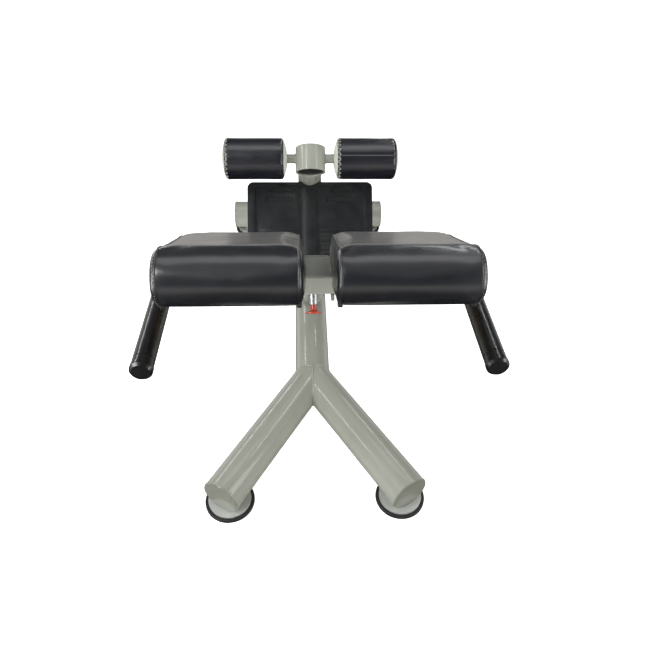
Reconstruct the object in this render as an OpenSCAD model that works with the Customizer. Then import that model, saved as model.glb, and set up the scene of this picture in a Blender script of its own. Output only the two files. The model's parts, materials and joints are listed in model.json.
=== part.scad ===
// Roman chair: a 45 degree back extension bench on a Y-shaped floor frame.
// +Z is up, -Y is the end that the user's face points to, and X = 0 is the middle plane.
// The origin is on the floor, under the middle of the whole machine.
// Millimetres throughout.

/* [Floor frame] */
// Outside diameter of the floor tubes
base_d = 95; // [80:1:110]
// Wall of the round tubes
tube_wall = 3; // [2:0.5:5]
// Length of a front leg, from the junction to the outside of its end plate
leg_len = 437; // [380:1:530]
// Angle of a front leg off the middle plane
leg_splay = 31; // [26:1:38]
// Distance from the junction of the legs to the axis of the rear cross tube
base_len = 817; // [760:1:985]
// Length of the rear cross tube over its end plates
rear_w = 542; // [450:1:650]
// Thickness of the plates that close the floor tubes
end_plate_t = 4; // [3:0.5:6]

/* [Feet] */
// Radius of a rubber foot
foot_r = 60; // [50:1:70]
// Radius of the steel disc that sits in the rubber
disc_r = 52; // [42:1:58]
// Height of the top of the steel disc above the floor
foot_h = 14; // [12:1:20]
// Height of the rubber's rim above the floor
rubber_h = 10; // [8:1:11]
// Thickness of rubber under the steel disc
rubber_floor = 4; // [3:0.5:6]
// Radius of the saddle that joins the disc to its tube
saddle_r = 30; // [24:1:36]
// Distance of a front foot from the end of its leg
front_foot_inset = 32; // [25:1:60]
// Half distance between the rear feet
rear_foot_x = 213; // [180:1:215]

/* [Main beam] */
// Lean of the beam off the vertical
beam_tilt = 45.7; // [40:0.1:50]
// Outside width of the square outer tube
beam_w = 60; // [54:1:70]
// Wall of the square tubes
square_wall = 3; // [2:0.5:3.5]
// Distance from the junction of the legs to the front of the beam's foot
beam_foot = 266; // [230:1:300]
// Length of the outer tube along its underside
beam_len = 400; // [350:1:440]
// Length of the plastic liner inside the mouth
liner_len = 60; // [40:1:80]
// Thickness of the liner's lip over the mouth
liner_lip = 3; // [2:0.5:5]
// Gap on each side between the liner and the inner post
post_clear = 0.2; // [0.2:0.1:0.5]

/* [Inner post and carrier] */
// Outside width of the square inner post
post_w = 50; // [42:1:51]
// Length of inner post that is inside the outer tube at rest
post_hidden = 220; // [200:1:260]
// Height of the pad carrier's centre along the beam
carrier_t = 738; // [700:1:800]
// Distance of the carrier's centre in front of the beam's axis
carrier_offset = 16; // [8:1:20]
// Depth of the carrier's rectangular tube
carrier_d = 88; // [80:1:100]
// Height of the carrier's rectangular tube
carrier_h = 37; // [30:1:45]
// Length of the carrier over its end plates
carrier_len = 440; // [400:1:460]
// Slope of the carrier and the underside of the pads, down to the rear
pad_tilt = 13; // [8:1:18]
// Thickness of the two gusset plates
gusset_t = 6; // [4:1:8]
// Depth of the gussets below the carrier
gusset_drop = 16; // [10:1:24]
// Length of the gusset's strap down the post
gusset_strap = 120; // [100:1:150]

/* [Hip pads] */
// Width of one pad
pad_w = 241; // [200:1:260]
// Gap between the two pads
pad_gap = 48.6; // [40:0.2:70]
// Radius of the roll at the front of a pad
roll_r = 49.5; // [42:0.5:60]
// Distance of the roll's axis in front of the carrier's centre
roll_reach = 145; // [130:1:170]
// Length of the flat top behind the roll
pad_flat = 234; // [210:1:250]
// Angle between the pad's top and its underside
pad_wedge = 16.5; // [13:0.5:17.5]
// Thickness of the plywood board
board_t = 12; // [9:1:14]
// Border of foam round the board
board_inset = 8; // [5:1:14]
// Radius of the rear corner on the outer side
pad_corner_out = 45; // [30:1:50]
// Radius of the rear corner on the inner side
pad_corner_in = 20; // [12:1:28]

/* [Handles] */
// Diameter of the handle tube
handle_d = 28; // [25:1:30]
// Outside diameter of a grip
grip_d = 35.5; // [33:0.5:40]
// Length of a grip
grip_len = 190; // [160:1:200]
// Half distance between the handle axes
handle_x = 277; // [272:1:300]
// Reach of a grip's end in front of the carrier's centre
handle_reach = 256; // [240:1:310]
// Rise of a handle towards its grip, in degrees
handle_rise = 4; // [0:0.5:6]
// Bend radius of the handle's elbow
elbow_r = 38; // [34:1:40]

/* [Foot plate] */
// Width of the foot plate
plate_w = 374; // [320:1:430]
// Height of the foot plate along its slope
plate_h = 285; // [240:1:330]
// Thickness of the foot plate
plate_t = 18; // [15:1:24]
// Gap between the beam and the lower edge of the foot plate
plate_lift = 11.5; // [8:0.5:16]
// Height of the plate's tread along the beam
plate_station = 47; // [40:1:60]
// Corner radius of the foot plate
plate_corner = 18; // [12:1:30]
// Depth of the moulded relief in the tread
relief = 3.5; // [1.5:0.5:4]
// Width of the upright behind the foot plate
upright_w = 70; // [50:1:80]
// Depth of the upright behind the foot plate
upright_d = 40; // [30:1:50]
// Length of the flat brackets behind the foot plate
bracket_w = 190; // [150:1:260]
// Height of a flat bracket
bracket_h = 40; // [30:1:60]
// Thickness of a flat bracket
bracket_t = 4; // [3:1:6]

/* [Ankle rollers] */
// Outside diameter of a roller
roller_d = 114; // [95:1:136]
// Length of a roller's padding
roller_len = 162; // [135:1:190]
// Distance of a roller's padding from the middle plane
roller_x = 74; // [64:1:90]
// Gap between the foot plate and the rollers
ankle_gap = 66; // [50:1:80]
// Height of the roller axis above the plate's top edge
roller_rise = 35; // [33:1:50]
// Height of a domed end disc
dome_h = 10; // [6:1:14]
// Radius of a domed end disc
dome_r = 50; // [40:1:56]
// Diameter of the roller bar
bar_d = 25; // [20:1:28]
// Radial running clearance of a roller on its bar
roller_clear = 0.05; // [0.02:0.01:0.08]
// Wall of the plastic sleeve inside a roller
sleeve_wall = 4.5; // [3:0.5:6]

/* [Head and strut] */
// Diameter of the head tube
head_d = 83; // [76:1:100]
// Length of the head tube
head_len = 66; // [66:1:80]
// Drop of the head's centre below the roller bar
head_drop = 5; // [0:1:8]
// Diameter of the rear strut
strut_d = 64; // [54:1:66]

/* [Pull pin] */
// Distance of the pull pin below the outer tube's mouth
pin_inset = 26; // [20:1:40]
// Diameter of the pull pin
pin_d = 10; // [8:1:12]
// Travel of the pull pin
pin_travel = 10; // [8:1:12]
// Outside diameter of the pull pin's barrel
barrel_d = 24; // [23:1:28]
// Length of the barrel below the beam
barrel_len = 26; // [26:1:32]
// Diameter of the knob's flange
knob_d = 38; // [32:1:45]
// Length of the knob
knob_len = 22; // [18:1:26]

/* [Hidden] */

$fn = 72;
LEFT = -1;
RIGHT = 1;
// Reach of a cutting tool past the solid that it cuts
over = 1;
// Size of a block or cylinder that cuts right across the machine
far = 900;
// Gap under the weld where a tube is coped to another
weld_gap = 0.1;
// Depth that a tube sinks into its steel disc
seat = 1;
// The spine's coped end stops short of the rear tube's axis, and the weld fills the rest.
spine_short = 8;

frame_paint = "#9a9b90";
dark_paint = "#77796d";
vinyl = "#24262b";
black_rubber = "#141414";
black_plastic = "#1c1c1a";
steel = "#b9bcc0";
knob_red = "#9b3020";
disc_grey = "#c8cac0";
plywood = "#b08d5e";

base_r = base_d / 2;
// Height of the floor tubes' axes
axis_z = foot_h - seat + base_r;
// Angle of the mitre between a leg and the spine, off the middle plane
mitre = (180 - leg_splay) / 2;
leg_foot = leg_len - front_foot_inset;

// The beam frame has its Y across the beam, up and to the rear, and its Z along the beam.
beam_foot_rise = beam_w / 2;
beam_o_from_junction = beam_foot + beam_foot_rise * cos(beam_tilt);
beam_o_z = axis_z + base_r + beam_foot_rise * sin(beam_tilt);
carrier_from_junction = beam_o_from_junction - carrier_offset * cos(beam_tilt) - carrier_t * sin(beam_tilt);
// A grip's end narrows by this taper to a small flat face.
grip_tip_taper = 3;
grip_tip_r = grip_d / 2 - grip_tip_taper;
handle_span = handle_reach * cos(handle_rise) + grip_tip_r * sin(handle_rise);
front_from_junction = carrier_from_junction - handle_span;
rear_from_junction = base_len + foot_r;

// The junction's place puts the machine's middle at Y = 0.
junction_y = -(front_from_junction + rear_from_junction) / 2;
rear_y = junction_y + base_len;
beam_o_y = junction_y + beam_o_from_junction;

beam_bore = beam_w - 2 * square_wall;
post_bore = post_w - 2 * square_wall;
square_corner = 4;
bore_corner = square_corner - square_wall / 2;
pin_t = beam_len - pin_inset;
post_foot_t = beam_len - post_hidden;
slot_clear = 0.5;
slot_w = pin_d + 2 * slot_clear;
carriage_up = 80;
carriage_down = 100;

plate_back_t = plate_station - plate_t;
plate_low_s = beam_w / 2 + plate_lift;
plate_top_s = plate_low_s + plate_h;
upright_front_t = plate_back_t - bracket_t;

roller_t = plate_station + ankle_gap + roller_d / 2;
roller_s = plate_top_s + roller_rise;
head_s = roller_s - head_drop;

// The strut's lower end is on the rear cross tube's axis, in the beam frame.
strut_foot_s = (rear_y - beam_o_y) * cos(beam_tilt) + (axis_z - beam_o_z) * sin(beam_tilt);
strut_foot_t = (axis_z - beam_o_z) * cos(beam_tilt) - (rear_y - beam_o_y) * sin(beam_tilt);
strut_ds = strut_foot_s - head_s;
strut_dt = strut_foot_t - roller_t;
strut_len = sqrt(strut_ds * strut_ds + strut_dt * strut_dt);
strut_turn = atan2(-strut_ds, strut_dt);
notch_clear = 2;

// Depth of the bar's end inside the outer end of the padding
bar_setback = 4;
bar_half = roller_x + roller_len - bar_setback;
sleeve_r = bar_d / 2 + roller_clear + sleeve_wall;
washer_t = 3;
washer_step = 1;
washer_r = sleeve_r - washer_step;
screw_r = 4;
screw_head_r = 6.5;
screw_head_h = 5;
screw_len = 28;
// Room left under a screw's tip in its hole
screw_tip_gap = 2;
side_play = 0.3;

carrier_lean = pad_tilt + beam_tilt;
carrier_half = carrier_len / 2;
pad_inner_x = pad_gap / 2;
pad_rear = -roll_reach + roll_r * sin(pad_wedge) + pad_flat * cos(pad_wedge);
pad_rear_h = roll_r * (1 + cos(pad_wedge)) - pad_flat * sin(pad_wedge);
// Setback of the board's front edge behind the roll's axis
board_setback = 6;
board_front = board_setback - roll_reach;
bolt_r = 4;
bolt_head_r = 6.5;
bolt_head_h = 5;
// Distances of the bolts from the ends and from the edges of the steel that they pass
bolt_end = 45;
bolt_border = 22;
pad_bolt_xs = [pad_inner_x + bolt_end, carrier_half - bolt_end];
pad_bolt_y = carrier_d / 2 - bolt_border;
// Plywood left above a bolt's hole, and the room above the bolt's tip
board_skin = 2;
bolt_tip_gap = 1;

pin_clear = 0.05;
barrel_bore_r = pin_d / 2 + pin_clear;
chamber_r = 8.6;
barrel_end = 5;
collar_r = 7.6;
collar_t = 3;
spring_wire = 1.6;
// Place of the pin's collar behind the beam's underside
collar_s = beam_w / 2 + barrel_end;
pin_reach = 11;
pin_tip = beam_w / 2 - pin_reach;
pin_tail = beam_w / 2 + barrel_len + pin_travel;

plate_bolt_x = bracket_w / 2 - bolt_border;
// Heights of the two rows of bolts above the lower edge and below the upper edge
plate_bolt_low = 60;
plate_bolt_drop = 75;
plate_bolt_high = plate_h - plate_bolt_drop;
// Length of a bolt's thread in the foot plate
plate_thread = 10;
// Plain borders beside, above and below a foot's field, and the shift of the field to the middle
field_side = 21;
field_border = 12;
field_in = 2;
// A field's corner radius is smaller than the plate's by this.
field_round = 4;
rib_count = 9;
rib_pitch = 14;
rib_foot = 16;

// ---- Frames and shared shapes ----

module beam_frame() {
    translate([0, beam_o_y, beam_o_z])
        rotate([beam_tilt, 0, 0])
            children();
}

// The carrier frame has its Z square to the underside of the pads.
module carrier_frame() {
    beam_frame()
        translate([0, -carrier_offset, carrier_t])
            rotate([-carrier_lean, 0, 0])
                children();
}

// The foot plate's frame has its Y up the tread and its Z out of the tread.
module plate_frame() {
    beam_frame()
        translate([0, plate_low_s, plate_station])
            children();
}

// A cylinder along X that starts at x and is len long.
module x_rod(x, len, r) {
    translate([x, 0, 0])
        rotate([0, 90, 0])
            cylinder(r = r, h = len);
}

// A flat outline in Y and Z, w thick from x.
module yz_slab(x, w) {
    translate([x, 0, 0])
        rotate([90, 0, 90])
            linear_extrude(w)
                children();
}

module mirrored(side) {
    if (side == LEFT)
        mirror([1, 0, 0])
            children();
    else
        children();
}

module both_sides() {
    for (side = [LEFT, RIGHT])
        mirrored(side)
            children();
}

// A centred rectangle with round corners.
module soft_rect(w, h, r) {
    square([w - 2 * r, h], center = true);
    square([w, h - 2 * r], center = true);
    for (x = [-1, 1], y = [-1, 1])
        translate([x * (w / 2 - r), y * (h / 2 - r)])
            circle(r);
}

module square_tube(w, d, wall, len) {
    linear_extrude(len)
        difference() {
            soft_rect(w, d, square_corner);
            soft_rect(w - 2 * wall, d - 2 * wall, square_corner - wall / 2);
        }
}

// ---- Floor frame ----

// Lies along a leg's axis, with Z down the leg from the junction.
module leg_frame(side) {
    translate([0, junction_y, axis_z])
        rotate([90, 0, side * leg_splay])
            children();
}

// The half of the plan view in which the right leg lies, back to the mitre.
module leg_wedge() {
    translate([0, junction_y, 0])
        linear_extrude(2 * axis_z)
            polygon([[0, 0], [0, -far], [far, -far], [far, far / tan(mitre)]]);
}

module spine_wedge() {
    translate([0, junction_y, 0])
        linear_extrude(2 * axis_z)
            polygon([
                [0, 0], [far, far / tan(mitre)], [far, 2 * far],
                [-far, 2 * far], [-far, far / tan(mitre)]
            ]);
}

module front_leg(side) {
    color(frame_paint)
        intersection() {
            leg_frame(side)
                translate([0, 0, -base_d])
                    difference() {
                        cylinder(d = base_d, h = base_d + leg_len - end_plate_t);
                        translate([0, 0, -over])
                            cylinder(d = base_d - 2 * tube_wall, h = base_d + leg_len + 2 * over);
                    }
            mirrored(side)
                leg_wedge();
        }
}

module front_leg_left() { front_leg(LEFT); }
module front_leg_right() { front_leg(RIGHT); }

module leg_end_plates() {
    color(dark_paint)
        for (side = [LEFT, RIGHT])
            leg_frame(side)
                translate([0, 0, leg_len - end_plate_t])
                    cylinder(d = base_d, h = end_plate_t);
}

// The rear cross tube's outside, grown by gap.
module rear_rod(gap) {
    translate([0, rear_y, axis_z])
        x_rod(-rear_w / 2, rear_w, base_r + gap);
}

// The spine's outside, grown by gap, from the junction to just short of the rear tube's axis.
module spine_rod(gap) {
    translate([0, junction_y - base_d, axis_z])
        rotate([-90, 0, 0])
            cylinder(r = base_r + gap, h = base_len + base_d - spine_short);
}

module spine_tube() {
    color(frame_paint)
        difference() {
            intersection() {
                spine_rod(0);
                spine_wedge();
            }
            spine_rod(-tube_wall);
            rear_rod(weld_gap);
        }
}

module rear_cross_tube() {
    color(frame_paint)
        translate([0, rear_y, axis_z])
            difference() {
                x_rod(-rear_w / 2 + end_plate_t, rear_w - 2 * end_plate_t, base_r);
                x_rod(-rear_w / 2, rear_w, base_r - tube_wall);
            }
}

module rear_end_plates() {
    color(dark_paint)
        both_sides()
            translate([0, rear_y, axis_z])
                x_rod(rear_w / 2 - end_plate_t, end_plate_t, base_r);
}

// ---- Feet ----

// Puts a foot under the end of a front leg or of the rear cross tube.
module foot_place(side, front) {
    if (front)
        translate([side * leg_foot * sin(leg_splay), junction_y - leg_foot * cos(leg_splay), 0])
            children();
    else
        translate([side * rear_foot_x, rear_y, 0])
            children();
}

module foot_disc(side, front) {
    color(steel)
        difference() {
            foot_place(side, front) {
                translate([0, 0, rubber_floor])
                    cylinder(r = disc_r, h = foot_h - rubber_floor);
                cylinder_above_disc();
            }
            if (front)
                leg_frame(side)
                    cylinder(r = base_r + weld_gap, h = leg_len);
            else
                rear_rod(weld_gap);
        }
}

module cylinder_above_disc() {
    translate([0, 0, foot_h - over])
        cylinder(r = saddle_r, h = base_r / 3);
}

module rubber_foot(side, front) {
    color(black_rubber)
        foot_place(side, front)
            difference() {
                cylinder(r = foot_r, h = rubber_h);
                translate([0, 0, rubber_floor])
                    cylinder(r = disc_r, h = rubber_h);
            }
}

module foot_disc_front_left() { foot_disc(LEFT, true); }
module foot_disc_front_right() { foot_disc(RIGHT, true); }
module foot_disc_rear_left() { foot_disc(LEFT, false); }
module foot_disc_rear_right() { foot_disc(RIGHT, false); }
module rubber_foot_front_left() { rubber_foot(LEFT, true); }
module rubber_foot_front_right() { rubber_foot(RIGHT, true); }
module rubber_foot_rear_left() { rubber_foot(LEFT, false); }
module rubber_foot_rear_right() { rubber_foot(RIGHT, false); }

// ---- Main beam ----

module main_beam() {
    color(frame_paint)
        difference() {
            beam_frame()
                translate([0, 0, -2 * beam_w])
                    square_tube(beam_w, beam_w, square_wall, beam_len + 2 * beam_w);
            translate([-far / 2, -far, axis_z - far])
                cube([far, 2 * far, far]);
            spine_rod(weld_gap);
            beam_frame()
                translate([0, -beam_w / 2, pin_t])
                    rotate([90, 0, 0])
                        translate([0, 0, -square_wall - over])
                            cylinder(r = pin_d / 2 + over, h = square_wall + 2 * over);
        }
}

// The liner guides the post. Its underside has a hole for the pin.
module beam_liner() {
    color(black_plastic)
        beam_frame()
            difference() {
                union() {
                    translate([0, 0, beam_len - liner_len])
                        linear_extrude(liner_len)
                            soft_rect(beam_bore, beam_bore, bore_corner);
                    translate([0, 0, beam_len])
                        linear_extrude(liner_lip)
                            soft_rect(beam_w, beam_w, square_corner);
                }
                translate([0, 0, beam_len - liner_len - over])
                    linear_extrude(liner_len + liner_lip + 2 * over)
                        square(post_w + 2 * post_clear, center = true);
                translate([0, -post_w / 2, pin_t])
                    rotate([90, 0, 0])
                        cylinder(r = pin_d / 2 + over, h = beam_w);
            }
}

// ---- Upright, foot plate and its fixings ----

module strut_rod(gap) {
    beam_frame()
        translate([0, head_s, roller_t])
            rotate([strut_turn, 0, 0])
                cylinder(r = strut_d / 2 + gap, h = strut_len);
}

module upright() {
    color(frame_paint)
        difference() {
            beam_frame()
                translate([0, beam_w / 2, upright_front_t - upright_d / 2])
                    rotate([-90, 0, 0])
                        square_tube(upright_w, upright_d, square_wall, head_s - beam_w / 2);
            strut_rod(weld_gap);
        }
}

module plate_brackets() {
    color(frame_paint)
        for (y = [plate_bolt_low, plate_bolt_high])
            plate_frame()
                difference() {
                    translate([-bracket_w / 2, y - bracket_h / 2, -plate_t - bracket_t])
                        cube([bracket_w, bracket_h, bracket_t]);
                    both_sides()
                        translate([plate_bolt_x, y, -plate_t - bracket_t - over])
                            cylinder(r = bolt_r, h = bracket_t + 2 * over);
                }
}

// The outline of a low arch with a flat base, w wide and h high.
module arch(w, h) {
    r = (w * w / 4 + h * h) / (2 * h);
    intersection() {
        translate([0, h - r])
            circle(r);
        translate([-w / 2, 0])
            square([w, h + over]);
    }
}

// The shallow relief under one foot: a field with cross ribs at its lower end.
module foot_relief() {
    field_w = plate_w / 2 - 2 * field_side;
    field_h = plate_h - 2 * field_border;
    rib_w = 4;
    rib_top = 0.5;
    rib_side = 12;
    translate([plate_w / 4 - field_in, plate_h / 2, 0])
        difference() {
            translate([0, 0, -relief])
                linear_extrude(relief + over)
                    soft_rect(field_w, field_h, plate_corner - field_round);
            for (i = [0 : rib_count - 1])
                translate([rib_side - field_w / 2, rib_foot - field_h / 2 + i * rib_pitch, -relief - over])
                    cube([field_w - 2 * rib_side, rib_w, relief + over - rib_top]);
        }
}

// An arch and a bar, sunk deeper into the upper part of one foot's field.
module foot_pockets() {
    deep = 2 * relief;
    arch_w = 60;
    arch_drop = 28;
    bar_w = 88;
    bar_drop = 51;
    bar_slant = 5;
    pocket_h = 16;
    translate([plate_w / 4 - field_in, plate_h, -deep]) {
        translate([0, -arch_drop, 0])
            linear_extrude(deep + over)
                arch(arch_w, pocket_h);
        translate([0, -bar_drop, 0])
            linear_extrude(deep + over)
                polygon([
                    [-bar_w / 2, -pocket_h / 2], [bar_w / 2, -pocket_h / 2],
                    [bar_w / 2 - bar_slant, pocket_h / 2], [bar_slant - bar_w / 2, pocket_h / 2]
                ]);
    }
}

module foot_plate() {
    hole_depth = plate_thread + bolt_tip_gap;
    color(black_plastic)
        difference() {
            plate_frame()
                difference() {
                    translate([0, plate_h / 2, -plate_t])
                        linear_extrude(plate_t)
                            soft_rect(plate_w, plate_h, plate_corner);
                    both_sides()
                        foot_relief();
                    both_sides()
                        foot_pockets();
                    for (y = [plate_bolt_low, plate_bolt_high])
                        both_sides()
                            translate([plate_bolt_x, y, -plate_t - over])
                                cylinder(r = bolt_r, h = hole_depth + over);
                }
            strut_rod(notch_clear);
        }
}

// Four bolts from behind, into the bosses of the foot plate.
module foot_plate_bolts() {
    shank = bracket_t + plate_thread;
    color(steel)
        for (y = [plate_bolt_low, plate_bolt_high])
            plate_frame()
                both_sides()
                    translate([plate_bolt_x, y, -plate_t - bracket_t - bolt_head_h]) {
                        cylinder(r = bolt_head_r, h = bolt_head_h, $fn = 6);
                        cylinder(r = bolt_r, h = bolt_head_h + shank);
                    }
}

// ---- Rear strut and head ----

// The head tube's outside, grown by gap and lengthened by extra at each end.
module head_rod(gap, extra) {
    beam_frame()
        translate([0, head_s - head_len / 2 - extra, roller_t])
            rotate([-90, 0, 0])
                cylinder(r = head_d / 2 + gap, h = head_len + 2 * extra);
}

module rear_strut() {
    color(frame_paint)
        difference() {
            strut_rod(0);
            strut_rod(-tube_wall);
            head_rod(weld_gap, strut_d);
            rear_rod(weld_gap);
            spine_rod(weld_gap);
            // Clears the notch that is left between the spine's end and the rear tube's crown.
            translate([-spine_short, rear_y - spine_short - over, axis_z])
                cube([2 * spine_short, spine_short + over, base_r + 3 * weld_gap]);
        }
}

module on_roller_axis() {
    beam_frame()
        translate([0, roller_s, roller_t])
            children();
}

module head_tube() {
    color(frame_paint)
        difference() {
            head_rod(0, 0);
            head_rod(-tube_wall - over, over);
            on_roller_axis()
                x_rod(-head_d, 2 * head_d, bar_d / 2);
        }
}

// Puts its children on the head's axis, y above the head's centre, with Z along the axis.
module on_head(y) {
    beam_frame()
        translate([0, head_s + y, roller_t])
            rotate([-90, 0, 0])
                children();
}

module head_cap() {
    rim = 2;
    taper = 3;
    color(frame_paint)
        on_head(head_len / 2) {
            cylinder(d = head_d, h = rim);
            translate([0, 0, rim])
                cylinder(d1 = head_d, d2 = head_d - 2 * taper, h = rim);
        }
}

// A plastic plug in the head's lower end, set back from the rim.
module head_plug() {
    recess = 3;
    plug_t = 8;
    color(black_plastic)
        on_head(-head_len / 2 + recess)
            cylinder(r = head_d / 2 - tube_wall - over, h = plug_t);
}

// ---- Ankle rollers ----

module roller_bar() {
    color(frame_paint)
        on_roller_axis()
            difference() {
                x_rod(-bar_half, 2 * bar_half, bar_d / 2);
                both_sides()
                    x_rod(bar_half - screw_len, screw_len + over, screw_r);
            }
}

module bar_washers() {
    color(steel)
        on_roller_axis()
            both_sides()
                difference() {
                    x_rod(bar_half, washer_t, washer_r);
                    x_rod(bar_half - over, washer_t + 2 * over, screw_r);
                }
}

module bar_screws() {
    color(steel)
        on_roller_axis()
            both_sides() {
                x_rod(bar_half - screw_len + screw_tip_gap, screw_len + washer_t, screw_r);
                x_rod(bar_half + washer_t, screw_head_h, screw_head_r);
            }
}

module roller_pad(side) {
    edge = 7;
    color(vinyl)
        on_roller_axis()
            mirrored(side)
                translate([roller_x, 0, 0])
                    rotate([0, 90, 0])
                        rotate_extrude()
                            difference() {
                                union() {
                                    translate([sleeve_r, 0])
                                        square([roller_d / 2 - sleeve_r - edge, roller_len]);
                                    translate([sleeve_r, edge])
                                        square([roller_d / 2 - sleeve_r, roller_len - 2 * edge]);
                                    for (y = [edge, roller_len - edge])
                                        translate([roller_d / 2 - edge, y])
                                            circle(edge);
                                }
                                square([sleeve_r, roller_len]);
                            }
}

module roller_sleeve(side) {
    lip = 2;
    start = roller_x - dome_h + lip;
    len = bar_half - side_play - start;
    color(black_plastic)
        on_roller_axis()
            mirrored(side)
                difference() {
                    x_rod(start, len, sleeve_r);
                    x_rod(start - over, len + 2 * over, bar_d / 2 + roller_clear);
                }
}

// A domed disc whose flat back is at x = 0 and whose crown is at x = dome_h.
module dome() {
    ball_r = (dome_r * dome_r + dome_h * dome_h) / (2 * dome_h);
    rotate([0, 90, 0])
        rotate_extrude()
            intersection() {
                translate([0, dome_h - ball_r])
                    circle(ball_r, $fn = 180);
                square([dome_r, dome_h]);
            }
}

// The inner disc is bored for the sleeve. The outer one is hollow over the screw.
module roller_discs(side) {
    head_room = 4;
    hollow_r = screw_head_r + head_room;
    hollow_h = dome_h / 2;
    color(disc_grey)
        on_roller_axis()
            mirrored(side) {
                difference() {
                    translate([roller_x, 0, 0])
                        mirror([1, 0, 0])
                            dome();
                    x_rod(roller_x - 2 * dome_h, 3 * dome_h, sleeve_r);
                }
                difference() {
                    translate([roller_x + roller_len, 0, 0])
                        dome();
                    x_rod(roller_x + roller_len - over, hollow_h + over, hollow_r);
                }
            }
}

module roller_pad_left() { roller_pad(LEFT); }
module roller_pad_right() { roller_pad(RIGHT); }
module roller_sleeve_left() { roller_sleeve(LEFT); }
module roller_sleeve_right() { roller_sleeve(RIGHT); }
module roller_discs_left() { roller_discs(LEFT); }
module roller_discs_right() { roller_discs(RIGHT); }

// ---- Pull pin ----

// Puts its children on the pull pin's axis, with Z out of the beam's underside.
module pin_frame() {
    beam_frame()
        translate([0, 0, pin_t])
            rotate([90, 0, 0])
                children();
}

module pin_barrel() {
    color(steel)
        pin_frame()
            difference() {
                translate([0, 0, beam_w / 2])
                    cylinder(d = barrel_d, h = barrel_len);
                translate([0, 0, beam_w / 2 - over])
                    cylinder(r = barrel_bore_r, h = barrel_len + 2 * over);
                translate([0, 0, collar_s])
                    cylinder(r = chamber_r, h = barrel_len - 2 * barrel_end);
            }
}

// The coils between the pin's collar and the barrel's outer end.
module pin_spring() {
    room = barrel_len - 2 * barrel_end - collar_t;
    coils = floor(room / spring_wire);
    inner_play = 0.4;
    color(steel)
        pin_frame()
            translate([0, 0, collar_s + collar_t])
                for (i = [0 : coils - 1])
                    translate([0, 0, (i + 0.5) * room / coils])
                        rotate_extrude()
                            translate([pin_d / 2 + spring_wire / 2 + inner_play, 0])
                                circle(d = spring_wire);
}

module pull_pin() {
    color(steel)
        pin_frame() {
            translate([0, 0, pin_tip])
                cylinder(d = pin_d, h = pin_tail - pin_tip);
            translate([0, 0, collar_s])
                cylinder(r = collar_r, h = collar_t);
        }
}

// A trumpet-shaped knob: a neck that flares to a round flange.
module pin_knob() {
    neck_r = 8;
    flange_t = 5;
    flare = knob_d / 2 - neck_r - flange_t / 2;
    start = beam_w / 2 + barrel_len + side_play;
    color(knob_red)
        pin_frame()
            translate([0, 0, start])
                difference() {
                    rotate_extrude() {
                        square([neck_r, knob_len - flange_t / 2]);
                        difference() {
                            translate([neck_r - over, knob_len - flange_t - flare])
                                square([flare + over, flare + flange_t]);
                            translate([neck_r + flare, knob_len - flange_t - flare])
                                circle(flare);
                        }
                        translate([neck_r + flare, knob_len - flange_t / 2])
                            circle(d = flange_t);
                    }
                    translate([0, 0, -over])
                        cylinder(d = pin_d, h = pin_tail - start + over);
                }
}

// ---- Inner post and carrier ----

// The slot in the underside lets the pin's tip stand in the post along the whole travel.
module inner_post() {
    slot_low = pin_t - carriage_up - slot_w;
    slot_len = carriage_up + carriage_down + 2 * slot_w;
    color(frame_paint)
        difference() {
            beam_frame()
                difference() {
                    translate([0, 0, post_foot_t])
                        square_tube(post_w, post_w, square_wall, carrier_t - post_foot_t);
                    translate([-slot_w / 2, -post_w / 2 - over, slot_low])
                        cube([slot_w, square_wall + 2 * over, slot_len]);
                }
            carrier_frame() {
                translate([-post_w, -far, -carrier_h / 2])
                    cube([2 * post_w, far + carrier_d / 2, far]);
                translate([-post_w, -far, carrier_h / 2 - over])
                    cube([2 * post_w, 2 * far, far]);
            }
        }
}

// A plastic plug in the lower end of the post.
module post_plug() {
    plug_in = 15;
    plug_lip = 3;
    color(black_plastic)
        beam_frame() {
            translate([0, 0, post_foot_t])
                linear_extrude(plug_in)
                    soft_rect(post_bore, post_bore, bore_corner);
            translate([0, 0, post_foot_t - plug_lip])
                linear_extrude(plug_lip)
                    soft_rect(post_w, post_w, square_corner);
        }
}

// The places of the pad bolts on the carrier.
module at_pad_bolts(side) {
    mirrored(side)
        for (x = pad_bolt_xs, y = [-pad_bolt_y, pad_bolt_y])
            translate([x, y, 0])
                children();
}

module carrier() {
    color(dark_paint)
        carrier_frame()
            difference() {
                translate([-carrier_half + end_plate_t, 0, 0])
                    rotate([0, 90, 0])
                        square_tube(carrier_h, carrier_d, square_wall, carrier_len - 2 * end_plate_t);
                for (side = [LEFT, RIGHT])
                    at_pad_bolts(side)
                        translate([0, 0, -carrier_h])
                            cylinder(r = bolt_r, h = 2 * carrier_h);
            }
}

module carrier_end_plates() {
    color(dark_paint)
        carrier_frame()
            both_sides()
                translate([carrier_half - end_plate_t, 0, 0])
                    rotate([0, 90, 0])
                        linear_extrude(end_plate_t)
                            soft_rect(carrier_h, carrier_d, square_corner);
}

// The outline of a gusset: a tab under the carrier and a strap down the side of the post.
module gusset_outline() {
    tab_r = gusset_drop / 2;
    intersection() {
        union() {
            translate([-carrier_d / 2 + tab_r, -carrier_h / 2 - gusset_drop])
                square([carrier_d - tab_r, gusset_drop]);
            translate([-carrier_d / 2, -carrier_h / 2 - gusset_drop + tab_r])
                square([carrier_d, gusset_drop - tab_r]);
            translate([-carrier_d / 2 + tab_r, -carrier_h / 2 - gusset_drop + tab_r])
                circle(tab_r);
            rotate(carrier_lean)
                translate([carrier_offset - post_w / 2, -gusset_strap])
                    square([post_w, gusset_strap]);
        }
        translate([-far / 2, -carrier_h / 2 - far])
            square([far, far]);
    }
}

module gusset_plates() {
    color(dark_paint)
        carrier_frame()
            both_sides()
                yz_slab(post_w / 2, gusset_t)
                    gusset_outline();
}

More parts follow.
